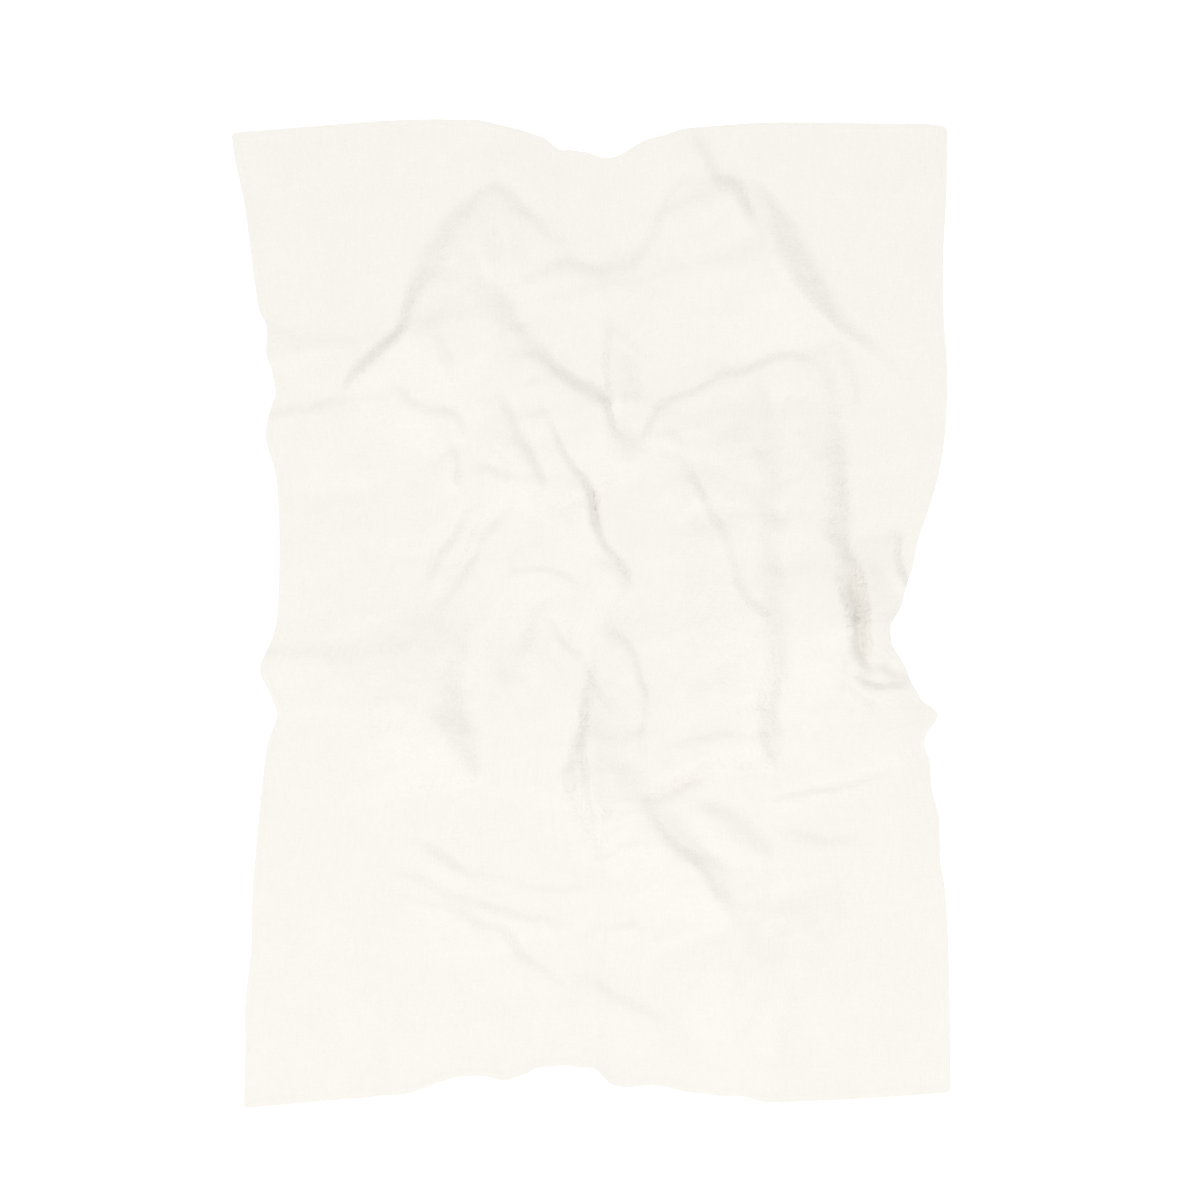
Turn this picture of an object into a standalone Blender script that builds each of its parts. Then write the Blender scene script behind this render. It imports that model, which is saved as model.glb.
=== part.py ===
"""A single linen duvet cover laid out flat and left crumpled, as one sheet of cloth.

Metres, +Z up. The origin lies on the surface under the middle of the cover. +Y points to its top end and
+X to its right side, as it is seen from above. Every number in the tables is a length in metres, except the
two columns of shares at the end of FOLDS.
"""

import math
from collections import namedtuple

import bmesh
import bpy
import numpy as np

# Cloth
CLOTH_THICKNESS = 0.002
LINEN_COLOUR = (0.90, 0.87, 0.81, 1.0)
LINEN_ROUGHNESS = 0.92

# Mesh of the sheet: cells across and along it, drawn together where the folds are
CELLS_ACROSS = 48
CELLS_ALONG = 64
GATHERING = 0.30

# Corners of the cover as it lies
FOOT_LEFT = (-0.675, -0.956)
FOOT_RIGHT = (0.697, -0.925)
TOP_LEFT = (-0.699, 0.936)
TOP_RIGHT = (0.690, 0.948)

# Where the folds draw the hem aside from the straight line between two corners.
# at: place along the edge (x on the top and the foot, y on the sides).
# shift: how far the hem moves there (in y on the top and the foot, in x on the sides).
# before, after: reach of that swing towards smaller and larger values of at.
Swing = namedtuple("Swing", "at shift before after")
TOP_SWINGS = (
    Swing(-0.310, 0.023, 0.280, 0.170),
    Swing(0.028, -0.057, 0.116, 0.075),
    Swing(0.350, 0.011, 0.130, 0.320),
)
FOOT_SWINGS = (
    Swing(-0.420, 0.013, 0.200, 0.050),
    Swing(-0.240, 0.052, 0.115, 0.170),
    Swing(-0.040, 0.055, 0.085, 0.084),
    Swing(0.120, 0.024, 0.060, 0.100),
    Swing(0.360, -0.012, 0.080, 0.280),
)
LEFT_SWINGS = (
    Swing(0.150, 0.083, 0.600, 0.600),
    Swing(-0.195, 0.014, 0.040, 0.030),
    Swing(-0.105, -0.026, 0.036, 0.055),
    Swing(0.345, -0.015, 0.050, 0.040),
    Swing(0.435, 0.014, 0.025, 0.050),
    Swing(0.560, 0.012, 0.045, 0.025),
)
RIGHT_SWINGS = (
    Swing(0.670, -0.009, 0.120, 0.120),
    Swing(0.020, -0.088, 0.370, 0.205),
    Swing(-0.035, -0.036, 0.048, 0.040),
    Swing(-0.190, 0.040, 0.035, 0.024),
)
CORNER_HOLD = 16  # how closely the corners hold their place: the power of the fade next to them

# Folds. Each is a ridge whose crest runs from (x1, y1) to (x2, y2).
# high: height of the crest. steep: reach of the steep side, to the left on the way along the crest.
# gentle: reach of the gentle side. bow: how far the middle of the crest lies to the left of its chord.
# crest: radius that rounds the crest. tip1, tip2: shares of the length over which it rises and dies away.
Fold = namedtuple("Fold", "name x1 y1 x2 y2 high steep gentle bow crest tip1 tip2")
FOLDS = (
    Fold("swell", -0.160, 0.620, 0.120, -0.620, 0.020, 0.300, 0.300, 0.000, 0.100, 0.50, 0.50),
    Fold("top_left_shoulder", -0.475, 0.410, -0.185, 0.885, 0.052, 0.056, 0.090, -0.045, 0.020, 0.35, 0.42),
    Fold("shoulder_leg", -0.170, 0.875, -0.235, 0.560, 0.018, 0.050, 0.060, 0.010, 0.020, 0.35, 0.50),
    Fold("centre_diagonal", -0.265, 0.620, 0.110, 0.255, 0.044, 0.048, 0.090, 0.006, 0.020, 0.25, 0.30),
    Fold("top_short_fold", -0.160, 0.630, 0.220, 0.870, 0.024, 0.042, 0.120, -0.085, 0.020, 0.40, 0.45),
    Fold("v_tongue", 0.068, 0.270, 0.074, 0.620, 0.018, 0.042, 0.042, 0.000, 0.020, 0.40, 0.60),
    Fold("shoulder_arc", 0.110, 0.300, 0.470, 0.420, 0.034, 0.042, 0.120, 0.058, 0.020, 0.25, 0.30),
    Fold("top_right_lip", 0.195, 0.945, 0.335, 0.715, 0.032, 0.042, 0.090, -0.005, 0.020, 0.35, 0.45),
    Fold("right_diagonal", 0.325, 0.865, 0.650, 0.400, 0.050, 0.062, 0.090, -0.058, 0.020, 0.25, 0.50),
    Fold("right_upright", 0.432, 0.500, 0.480, -0.260, 0.050, 0.054, 0.070, 0.004, 0.020, 0.35, 0.20),
    Fold("right_upright_foot", 0.465, 0.200, 0.480, -0.170, 0.014, 0.045, 0.060, 0.000, 0.020, 0.35, 0.30),
    Fold("edge_pleat", 0.590, -0.110, 0.562, 0.260, 0.028, 0.042, 0.042, 0.000, 0.020, 0.20, 0.60),
    Fold("right_bump", 0.420, -0.215, 0.700, -0.185, 0.038, 0.044, 0.080, 0.010, 0.020, 0.40, 0.10),
    Fold("inner_upright", 0.250, 0.450, 0.275, -0.300, 0.030, 0.056, 0.090, 0.010, 0.020, 0.30, 0.30),
    Fold("slant_crease", 0.115, 0.390, 0.315, -0.040, 0.018, 0.042, 0.070, 0.000, 0.020, 0.35, 0.30),
    Fold("long_crease_top", -0.125, 0.440, 0.035, 0.030, 0.038, 0.042, 0.070, 0.000, 0.020, 0.35, 0.20),
    Fold("long_crease_foot", -0.005, 0.060, 0.050, -0.370, 0.034, 0.042, 0.042, 0.024, 0.020, 0.25, 0.25),
    Fold("middle_trough", 0.015, -0.110, -0.010, -0.450, -0.016, 0.042, 0.042, -0.022, 0.020, 0.30, 0.25),
    Fold("crease_a", -0.190, 0.440, -0.095, 0.220, 0.016, 0.042, 0.045, 0.000, 0.020, 0.35, 0.30),
    Fold("crease_c", -0.390, 0.440, -0.230, 0.345, 0.015, 0.042, 0.060, -0.010, 0.020, 0.35, 0.30),
    Fold("left_bulge", -0.720, -0.112, -0.320, -0.135, 0.018, 0.045, 0.070, 0.010, 0.020, 0.10, 0.35),
    Fold("left_bulge_end", -0.420, -0.050, -0.255, -0.390, 0.038, 0.062, 0.110, 0.016, 0.020, 0.40, 0.40),
    Fold("left_hem_fold", -0.700, 0.345, -0.400, 0.415, 0.019, 0.042, 0.090, 0.000, 0.020, 0.10, 0.50),
    Fold("left_hem_ripple", -0.700, 0.520, -0.440, 0.530, 0.012, 0.042, 0.042, 0.000, 0.020, 0.10, 0.50),
    Fold("lower_fold", 0.050, -0.350, 0.355, -0.262, 0.025, 0.042, 0.042, 0.022, 0.020, 0.30, 0.25),
    Fold("lower_slant_a", 0.030, -0.345, 0.295, -0.620, 0.036, 0.042, 0.090, -0.004, 0.020, 0.25, 0.40),
    Fold("lower_slant_b", 0.160, -0.335, 0.360, -0.560, 0.026, 0.044, 0.042, 0.000, 0.020, 0.30, 0.40),
    Fold("foot_line_a", 0.690, -0.230, 0.310, -0.342, 0.015, 0.042, 0.060, 0.012, 0.020, 0.10, 0.30),
    Fold("swag_a", -0.385, -0.405, 0.090, -0.530, 0.014, 0.042, 0.070, -0.045, 0.020, 0.30, 0.40),
    Fold("swag_c", -0.430, -0.540, -0.050, -0.750, 0.014, 0.042, 0.080, 0.012, 0.020, 0.30, 0.40),
    Fold("swag_d", -0.040, -0.695, 0.210, -0.840, 0.014, 0.042, 0.070, 0.000, 0.020, 0.35, 0.45),
    Fold("foot_rise", -0.040, -0.640, -0.050, -1.050, 0.016, 0.090, 0.110, 0.000, 0.030, 0.60, 0.05),
    Fold("foot_band", 0.390, -0.420, 0.310, -1.050, 0.014, 0.060, 0.070, 0.030, 0.020, 0.35, 0.05),
    Fold("top_rise", 0.045, 0.700, 0.028, 1.050, 0.018, 0.085, 0.095, 0.000, 0.030, 0.60, 0.05),
)
FOOT_SOFTNESS = 0.18  # share of the steep side's reach that rounds its foot
GENTLE_FALL = 0.9  # how fast the gentle side falls away
TIP_WIDTH = 0.45  # width of a fold at its tips, as a share of its full width
LYING_BELOW = 0.002  # folds lower than this lie flat on the surface
LIFTING_OVER = 0.002  # rise over which the cloth leaves the surface smoothly


def hem_line(start, end, swings, share, runs_in_x):
    """The hem from corner to corner: a straight line moved sideways by the sum of its swings.

    Each swing is shift * exp(-((place - at) / reach)^2), with its own reach on either side.
    """
    x = start[0] + (end[0] - start[0]) * share
    y = start[1] + (end[1] - start[1]) * share
    place = x if runs_in_x else y
    shift = np.zeros_like(share)
    for swing in swings:
        reach = np.where(place < swing.at, swing.before, swing.after)
        shift += swing.shift * np.exp(-(((place - swing.at) / reach) ** 2))
    shift *= 1 - np.abs(2 * share - 1) ** CORNER_HOLD
    return (x, y + shift) if runs_in_x else (x + shift, y)


def laid_out(u, v):
    """Where the point at the share u across and v along the cloth lies: the surface blended between its four hems.

    The two blends between opposite hems are added, and the blend between the four corners is taken away.
    """
    foot = hem_line(FOOT_LEFT, FOOT_RIGHT, FOOT_SWINGS, u, True)
    top = hem_line(TOP_LEFT, TOP_RIGHT, TOP_SWINGS, u, True)
    left = hem_line(FOOT_LEFT, TOP_LEFT, LEFT_SWINGS, v, False)
    right = hem_line(FOOT_RIGHT, TOP_RIGHT, RIGHT_SWINGS, v, False)
    place = []
    for axis in (0, 1):
        foot_corners = (1 - u) * FOOT_LEFT[axis] + u * FOOT_RIGHT[axis]
        top_corners = (1 - u) * TOP_LEFT[axis] + u * TOP_RIGHT[axis]
        between_ends = (1 - v) * foot[axis] + v * top[axis]
        between_sides = (1 - u) * left[axis] + u * right[axis]
        place.append(between_ends + between_sides - (1 - v) * foot_corners - v * top_corners)
    return place


def eased(share):
    """0 to 1 with level ends: s^2 (3 - 2s)."""
    s = np.clip(share, 0, 1)
    return s * s * (3 - 2 * s)


def fold_height(x, y, fold):
    """Height of one fold over the points (x, y).

    The steep side is a straight slope with a rounded crest and foot. The gentle side falls as exp(-k d^2).
    Both narrow and sink towards the tips of the fold.
    """
    length = math.hypot(fold.x2 - fold.x1, fold.y2 - fold.y1)
    way_x = (fold.x2 - fold.x1) / length
    way_y = (fold.y2 - fold.y1) / length
    share = ((x - fold.x1) * way_x + (y - fold.y1) * way_y) / length
    inside = np.clip(share, 0, 1)
    across = (y - fold.y1) * way_x - (x - fold.x1) * way_y - fold.bow * 4 * inside * (1 - inside)
    rise = eased(share / fold.tip1) * eased((1 - share) / fold.tip2)
    narrowing = TIP_WIDTH + (1 - TIP_WIDTH) * rise
    away = np.sqrt(across**2 + fold.crest**2) - fold.crest
    slope = 1 - away / (fold.steep * narrowing)
    steep = FOOT_SOFTNESS * np.log1p(np.exp(slope / FOOT_SOFTNESS))
    gentle = np.exp(-GENTLE_FALL * (away / (fold.gentle * narrowing)) ** 2)
    return fold.high * rise * np.where(across > 0, steep, gentle)


def underside_height(x, y):
    """Height of the underside: the sum of the folds, and exactly 0 where the cloth lies on the surface."""
    total = np.zeros_like(x)
    for fold in FOLDS:
        total += fold_height(x, y, fold)
    raised = np.maximum(total - LYING_BELOW, 0)
    return raised**2 / (raised + LIFTING_OVER)


def gathered(share):
    """Shares from 0 to 1 drawn towards the middle, so that the cells are smaller where the folds are."""
    return share + GATHERING * np.sin(2 * np.pi * share) / (2 * np.pi)


def split_along_folds(mesh):
    """Splits each four-sided cell along the diagonal whose middle lies closer to the height of the folds there."""
    cloth = bmesh.new()
    cloth.from_mesh(mesh)
    cells = list(cloth.faces)
    middles = np.array([cell.calc_center_median() for cell in cells])
    heights = underside_height(middles[:, 0], middles[:, 1])
    for cell, height in zip(cells, heights):
        one, two, three, four = cell.verts
        off_first = abs((one.co.z + three.co.z) / 2 - height)
        off_second = abs((two.co.z + four.co.z) / 2 - height)
        ends = (one, three) if off_first <= off_second else (two, four)
        bmesh.utils.face_split(cell, *ends)
    cloth.to_mesh(mesh)
    cloth.free()


def linen():
    material = bpy.data.materials.new("washed_linen")
    material.use_nodes = True
    shader = material.node_tree.nodes["Principled BSDF"]
    shader.inputs["Base Color"].default_value = LINEN_COLOUR
    shader.inputs["Roughness"].default_value = LINEN_ROUGHNESS
    shader.inputs["Metallic"].default_value = 0.0
    return material


def make_cover(collection):
    """The cover: a grid laid out between the hems, raised into its folds and given the thickness of the cloth."""
    bpy.ops.mesh.primitive_grid_add(x_subdivisions=CELLS_ACROSS, y_subdivisions=CELLS_ALONG, size=1)
    cover = bpy.context.object
    cover.name = "duvet_cover"
    cover.data.name = "duvet_cover"
    points = np.empty(len(cover.data.vertices) * 3)
    cover.data.vertices.foreach_get("co", points)
    points = points.reshape(-1, 3)
    x, y = laid_out(gathered(points[:, 0] + 0.5), gathered(points[:, 1] + 0.5))
    points[:, 0] = x
    points[:, 1] = y
    points[:, 2] = underside_height(x, y)
    cover.data.vertices.foreach_set("co", points.ravel())
    split_along_folds(cover.data)
    cover.data.update()
    cover.data.shade_smooth()
    cover.data.materials.append(linen())

    thickness = cover.modifiers.new("cloth", "SOLIDIFY")
    thickness.thickness = CLOTH_THICKNESS
    thickness.offset = 1.0

    for other in cover.users_collection:
        other.objects.unlink(cover)
    collection.objects.link(cover)
    return cover


def main():
    for obj in list(bpy.data.objects):
        bpy.data.objects.remove(obj, do_unlink=True)
    collection = bpy.data.collections.new("crumpled_duvet_cover")
    bpy.context.scene.collection.children.link(collection)
    make_cover(collection)


main()
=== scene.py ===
"""A single linen duvet cover, laid out and left crumpled, seen from straight above.

Metres in the part's frame: the origin lies on the floor under the middle of the cover, +Y points to its
top end and +X to its right side. The tables of folds are in millimetres.
"""

import math
from collections import namedtuple

import bpy
import numpy as np
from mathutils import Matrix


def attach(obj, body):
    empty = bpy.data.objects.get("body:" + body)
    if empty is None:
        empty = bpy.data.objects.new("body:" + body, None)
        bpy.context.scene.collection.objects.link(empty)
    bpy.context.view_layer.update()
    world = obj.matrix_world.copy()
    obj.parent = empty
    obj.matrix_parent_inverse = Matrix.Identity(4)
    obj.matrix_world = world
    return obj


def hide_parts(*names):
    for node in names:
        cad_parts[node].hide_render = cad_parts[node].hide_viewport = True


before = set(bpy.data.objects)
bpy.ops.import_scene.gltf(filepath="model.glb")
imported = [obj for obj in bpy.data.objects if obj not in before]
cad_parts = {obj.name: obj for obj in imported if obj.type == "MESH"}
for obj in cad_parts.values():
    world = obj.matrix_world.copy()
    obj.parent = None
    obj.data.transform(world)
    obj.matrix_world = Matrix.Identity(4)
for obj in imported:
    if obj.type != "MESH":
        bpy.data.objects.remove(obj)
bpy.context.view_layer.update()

MM = 0.001

# The cloth as it was cut and sewn
FLAT_WIDTH = 1.40
FLAT_LENGTH = 2.00
CLOTH_THICKNESS = 0.002
HEM_WIDTH = 0.015
HEM_RISE = 0.0005  # how much the turned cloth adds
HEM_STEP = 0.0025  # reach of the step at the hem's inner edge
CORNER_RADIUS = 0.009
STITCH_INSET = 0.0125
STITCH_PITCH = 0.0042
STITCH_LENGTH = 0.0030
THREAD_RADIUS = 0.00032
STITCH_PLACES = (0.0, 0.14, 0.5, 0.86, 1.0)  # rings along a stitch
STITCH_RINGS = (0.35, 0.9, 1.0, 0.9, 0.35)  # thickness at each ring, as shares
STITCH_SIDES = 6

# Cells of the sheet: lines at these distances from its edge, then even cells drawn together to the middle
HEM_LINES = (0.0, 0.0004, 0.0060, 0.0115, 0.0136, 0.0150, 0.0164, 0.0195)
CELLS_ACROSS = 172
CELLS_ALONG = 246
GATHERING = 0.12  # share by which cells are narrower in the middle and wider at the ends

# Corners of the cover as it lies
FOOT_LEFT = (-0.675, -0.956)
FOOT_RIGHT = (0.697, -0.925)
TOP_LEFT = (-0.699, 0.936)
TOP_RIGHT = (0.690, 0.948)
CORNER_HOLD = 16  # a power: the higher, the nearer to the corners the hem still swings

# Where the folds draw the hem aside from the straight line between two corners.
# at: place along the edge (x on the top and the foot, y on the sides).
# shift: how far the hem moves there (in y on the top and the foot, in x on the sides).
# before, after: reach of that swing towards smaller and larger values of at. All in millimetres.
Swing = namedtuple("Swing", "at shift before after")
TOP_SWINGS = (
    Swing(-310, 23, 280, 170),
    Swing(-215, 4, 35, 30),
    Swing(-62, -9, 20, 16),
    Swing(-8, 6, 20, 24),
    Swing(28, -57, 116, 75),
    Swing(138, -7, 28, 36),
    Swing(350, 11, 130, 320),
    Swing(655, 5, 45, 40),
)
FOOT_SWINGS = (
    Swing(-420, 13, 200, 50),
    Swing(-240, 52, 115, 170),
    Swing(-172, -8, 18, 20),
    Swing(-105, 7, 18, 22),
    Swing(-40, 55, 85, 84),
    Swing(8, 13, 22, 16),
    Swing(120, 24, 60, 100),
    Swing(185, -4, 30, 30),
    Swing(292, 6, 25, 30),
    Swing(360, -12, 80, 280),
)
LEFT_SWINGS = (
    Swing(-760, -3, 60, 50),
    Swing(-640, 4, 60, 60),
    Swing(150, 83, 600, 600),
    Swing(-195, 14, 40, 30),
    Swing(-105, -26, 36, 55),
    Swing(345, -15, 50, 40),
    Swing(435, 14, 25, 50),
    Swing(478, 4, 14, 14),
    Swing(560, 12, 45, 22),
    Swing(900, -8, 60, 60),
)
RIGHT_SWINGS = (
    Swing(-480, -4, 30, 30),
    Swing(-390, 5, 30, 35),
    Swing(-285, 7, 30, 25),
    Swing(-150, 7, 14, 14),
    Swing(-40, 6, 14, 16),
    Swing(92, 7, 26, 40),
    Swing(560, -3, 60, 60),
    Swing(670, -9, 120, 120),
    Swing(20, -88, 370, 205),
    Swing(-35, -36, 48, 40),
    Swing(-190, 40, 35, 24),
)

# Slopes: the steep sides of the folds. The path runs along the steepest line of the slope, with the
# cloth high on its right and low on its left. Each point is x, y and the height of the fold there, in
# millimetres. A fourth value is the share of the width that the slope has there.
# width: reach of the slope where it is highest. lean: 1 is steep under its crest, -1 steep at its foot.
# back: reach over which the fold sinks again behind its crest.
Slope = namedtuple("Slope", "name width lean back path")
SLOPES = (
    Slope("top_left_shoulder", 58, 0.25, 160, (
        (-490, 422, 0, 1), (-460, 464, 17, .95), (-430, 494, 24, .82), (-402, 519, 32, .62),
        (-374, 550, 39, .5), (-355, 595, 36, .9), (-330, 650, 34, 1.25), (-302, 700, 31, 1.3),
        (-272, 745, 26, 1.3), (-240, 788, 18, 1.2), (-207, 825, 9, 1.1), (-184, 852, 0, 1))),
    Slope("shoulder_leg", 62, 0.0, 60, (
        (-185, 868, 0), (-155, 826, 4), (-132, 782, 5.5), (-114, 740, 5.5), (-102, 695, 4),
        (-98, 645, 0))),
    Slope("centre_start", 80, 0.0, 80, (
        (-285, 665, 0), (-245, 645, 3), (-205, 620, 6), (-170, 595, 6), (-135, 572, 0))),
    Slope("centre_diagonal", 58, 0.0, 140, (
        (-240, 650, 0, 1.7), (-205, 612, 7, 1.6), (-160, 570, 13, 1.25), (-110, 522, 17, 1.05),
        (-75, 485, 18, 1), (-40, 455, 17, 1), (0, 433, 20, .9), (30, 410, 25, .7), (48, 375, 25, .75),
        (68, 338, 18, 1), (92, 300, 9, 1.3), (105, 270, 0, 1.4))),
    Slope("top_short_fold", 40, 0.0, 100, (
        (-160, 640, 0), (-110, 655, 6.5), (-50, 682, 12), (0, 672, 13), (50, 680, 13), (90, 692, 13),
        (120, 735, 10), (142, 790, 10), (165, 830, 6), (200, 860, 0))),
    Slope("tongue_left", 20, 0.0, 30, (
        (60, 345, 0), (46, 380, 8), (38, 410, 15), (31, 445, 10), (30, 490, 7.5), (38, 530, 4),
        (44, 570, 1.5), (46, 610, 0))),
    Slope("tongue_right", 46, 0.0, 40, (
        (142, 635, 0), (125, 590, 5), (103, 545, 9), (86, 505, 10), (84, 465, 10), (90, 425, 7),
        (98, 390, 0))),
    Slope("shoulder_arc", 32, 0.2, 120, (
        (98, 320, 0), (106, 350, 12), (113, 378, 14), (130, 405, 10), (160, 424, 6.5), (205, 438, 5.5),
        (238, 454, 6.5), (254, 468, 7), (300, 472, 6.5), (340, 488, 6.5), (380, 500, 6),
        (415, 494, 4.5), (440, 476, 2), (455, 450, 0))),
    Slope("top_right_lip", 46, 0.3, 80, (
        (192, 985, 5), (208, 935, 10), (224, 895, 14), (242, 858, 13), (260, 825, 8), (280, 788, 0))),
    Slope("lip_drop", 34, 0.2, 60, (
        (270, 868, 0), (279, 840, 13), (290, 812, 18), (300, 785, 14), (310, 758, 5), (322, 730, 0))),
    Slope("right_diagonal", 64, 0.2, 170, (
        (325, 862, 0, .9), (338, 825, 8, .9), (356, 785, 19, 1), (380, 735, 30, 1.15),
        (402, 690, 33, 1.15), (427, 645, 31, 1.1), (456, 605, 24, 1.1), (488, 570, 16, 1.1),
        (520, 540, 10, 1.2), (560, 510, 6.5, 1.4), (600, 475, 4, 1.5), (650, 445, 0, 1.5))),
    Slope("right_second", 34, 0.0, 50, (
        (470, 545, 0), (495, 500, 6.5), (508, 450, 7), (508, 400, 6.5), (500, 350, 0))),
    Slope("right_upright", 64, 0.1, 150, (
        (440, 530, 0, 1), (456, 465, 9, 1.2), (464, 400, 20, 1.4), (469, 340, 29, 1.4),
        (473, 270, 35, 1.4), (476, 200, 39, 1.35), (481, 140, 43, 1.1), (490, 90, 50, .72),
        (498, 40, 59, .5), (503, 0, 63, .44), (505, -40, 59, .44), (510, -72, 44, .48),
        (528, -95, 24, .8), (562, -108, 13, .9), (605, -118, 7, .9), (665, -128, 0, .9))),
    Slope("trough_flank", 24, 0.0, 60, (
        (550, -112, 0), (538, -80, 20), (531, -40, 32), (529, 10, 34), (523, 60, 24), (513, 105, 11),
        (504, 155, 0))),
    Slope("notch_line_a", 8, 0.0, 20, (
        (495, -114, 0), (520, -130, 7), (555, -138, 10), (590, -136, 9), (628, -126, 0))),
    Slope("notch_line_b", 10, 0.0, 20, (
        (484, -136, 0), (505, -150, 5), (532, -160, 5), (565, -166, 0))),
    Slope("edge_pleat", 14, 0.0, 22, (
        (598, 175, 0), (597, 140, 8), (596, 110, 11), (601, 80, 11), (607, 60, 8), (608, 30, 0))),
    Slope("inner_upright", 76, 0.0, 120, (
        (322, 510, 0, 1.2), (327, 440, 5.5, 1.2), (331, 370, 17, 1.1), (334, 320, 26, 1.1),
        (336, 280, 32, 1.1), (338, 200, 38, 1.4), (341, 120, 38, 1.1), (348, 60, 39, 1),
        (356, 10, 42, .95), (360, -40, 45, .95), (357, -90, 43, .95), (350, -140, 39, 1),
        (345, -190, 34, 1), (345, -235, 29, .9), (350, -270, 19, .8), (354, -305, 0, .8))),
    Slope("slant_crease_top", 38, 0.0, 60, (
        (148, 375, 0), (165, 330, 9), (185, 285, 11), (210, 235, 6.5), (226, 203, 0))),
    Slope("slant_crease", 18, 0.2, 80, (
        (190, 285, 0), (215, 228, 6.5), (240, 180, 9), (260, 140, 10), (272, 100, 10), (283, 62, 10),
        (302, 32, 8), (330, 10, 6.5), (352, -12, 0))),
    Slope("long_crease", 26, -0.1, 50, (
        (-104, 425, 0, 1), (-88, 380, 6, 1.1), (-62, 330, 9, 1.1), (-38, 292, 11, 1.1),
        (-18, 264, 15, .95), (0, 236, 25, .65), (6, 205, 28, .58), (10, 172, 20, .7), (22, 138, 13, 1),
        (45, 108, 9, 1.3), (64, 80, 6, 1.7), (62, 55, 5, 1.7), (48, 28, 3.5, 1.7), (34, 0, 3, 1.9),
        (36, -25, 3, 2.8), (56, -46, 6, 2.1), (77, -70, 8, 1.6), (92, -102, 8, 1.3),
        (100, -150, 8, 1.3), (97, -195, 6, 1.5), (92, -240, 3, 1.8), (88, -295, 0, 2))),
    Slope("long_crease_bend", 46, 0.0, 50, (
        (76, 98, 0), (60, 60, 10), (42, 25, 10), (30, -6, 7), (34, -34, 3), (48, -58, 0))),
    Slope("crease_a", 40, 0.0, 45, (
        (-185, 440, 0), (-165, 400, 9), (-145, 355, 16), (-128, 315, 21), (-112, 285, 20),
        (-95, 258, 10), (-78, 235, 0))),
    Slope("crease_b", 24, 0.0, 35, (
        (-235, 288, 0), (-205, 284, 6.5), (-165, 271, 7.5), (-125, 262, 7.5), (-95, 252, 6),
        (-75, 240, 0))),
    Slope("crease_c", 24, 0.0, 55, (
        (-378, 460, 0), (-368, 435, 6.5), (-350, 412, 8), (-322, 399, 8), (-290, 389, 10),
        (-262, 378, 8), (-245, 355, 5.5), (-236, 332, 0))),
    Slope("crease_d", 15, 0.0, 25, (
        (-250, 338, 0), (-261, 305, 9), (-262, 275, 10), (-256, 250, 6.5), (-252, 232, 0))),
    Slope("crease_e", 30, 0.0, 30, (
        (-306, 585, 0), (-298, 545, 5.5), (-288, 505, 7), (-272, 468, 7), (-262, 425, 0))),
    Slope("fork_top", 13, 0.0, 28, (
        (-178, 70, 0), (-150, 80, 2.5), (-115, 89, 3.5), (-88, 86, 4), (-60, 76, 5), (-38, 62, 4),
        (-20, 44, 0))),
    Slope("left_bulge_end", 84, 0.0, 130, (
        (-218, 90, 0, .9), (-230, 30, 3, .9), (-240, -20, 7.5, .9), (-256, -65, 15, .9),
        (-272, -105, 28, .95), (-277, -145, 36, 1.05), (-272, -180, 39, 1.05), (-262, -208, 37, 1),
        (-249, -235, 33, .9), (-238, -262, 26, .8), (-229, -295, 15, .8), (-222, -335, 0, .7))),
    Slope("left_bulge_top", 52, 0.0, 45, (
        (-720, -72, 6.5), (-620, -74, 6.5), (-500, -72, 6.5), (-420, -68, 5), (-350, -60, 2.5),
        (-312, -52, 0))),
    Slope("left_bulge_foot", 44, 0.0, 45, (
        (-300, -195, 0), (-400, -192, 3), (-500, -190, 4), (-620, -190, 4), (-720, -190, 4))),
    Slope("left_hem_fold", 30, 0.0, 80, (
        (-720, 380, 6.5), (-620, 388, 7), (-560, 398, 7), (-510, 410, 6), (-470, 419, 3.5),
        (-430, 421, 2), (-395, 418, 0))),
    Slope("middle_trough", 28, 0.2, 110, (
        (12, -478, 0, 1.2), (9, -430, 12, 1.1), (3, -385, 21, .85), (-5, -330, 28, .66),
        (-12, -290, 31, .54), (-18, -255, 32, .54), (-16, -215, 27, .72), (-9, -170, 18, 1.15),
        (0, -125, 12, 1.7), (6, -80, 7, 2.1), (10, -30, 3, 2.1), (12, 20, 0, 2.1))),
    Slope("trough_apron", 44, 0.0, 90, (
        (2, -446, 0), (-10, -414, 12), (-26, -380, 23), (-37, -340, 30), (-39, -305, 26),
        (-33, -262, 16), (-22, -210, 8), (-10, -160, 3), (0, -110, 0))),
    Slope("lower_fold_upper", 18, 0.0, 30, (
        (118, -266, 0), (165, -248, 3), (215, -236, 4), (265, -228, 4), (312, -232, 0))),
    Slope("lower_slant_a", 62, 0.6, 110, (
        (82, -340, 0), (112, -380, 13), (142, -412, 22), (178, -446, 27), (206, -473, 28),
        (229, -502, 27), (248, -535, 21), (264, -568, 12), (280, -610, 0))),
    Slope("lower_slant_b", 46, 0.0, 30, (
        (203, -350, 0), (232, -370, 9), (262, -392, 13), (290, -415, 13), (320, -440, 11),
        (338, -462, 9), (346, -492, 4), (348, -522, 0))),
    Slope("foot_line_a", 26, -0.3, 80, (
        (720, -232, 5), (650, -254, 6), (600, -283, 6), (500, -314, 7), (440, -330, 7), (380, -342, 6),
        (322, -352, 0))),
    Slope("foot_line_b", 30, 0.0, 45, (
        (345, -412, 0), (385, -421, 4), (430, -427, 5.5), (475, -435, 5.5), (505, -441, 4),
        (542, -446, 0))),
    Slope("swag_a", 22, 0.0, 60, (
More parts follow.
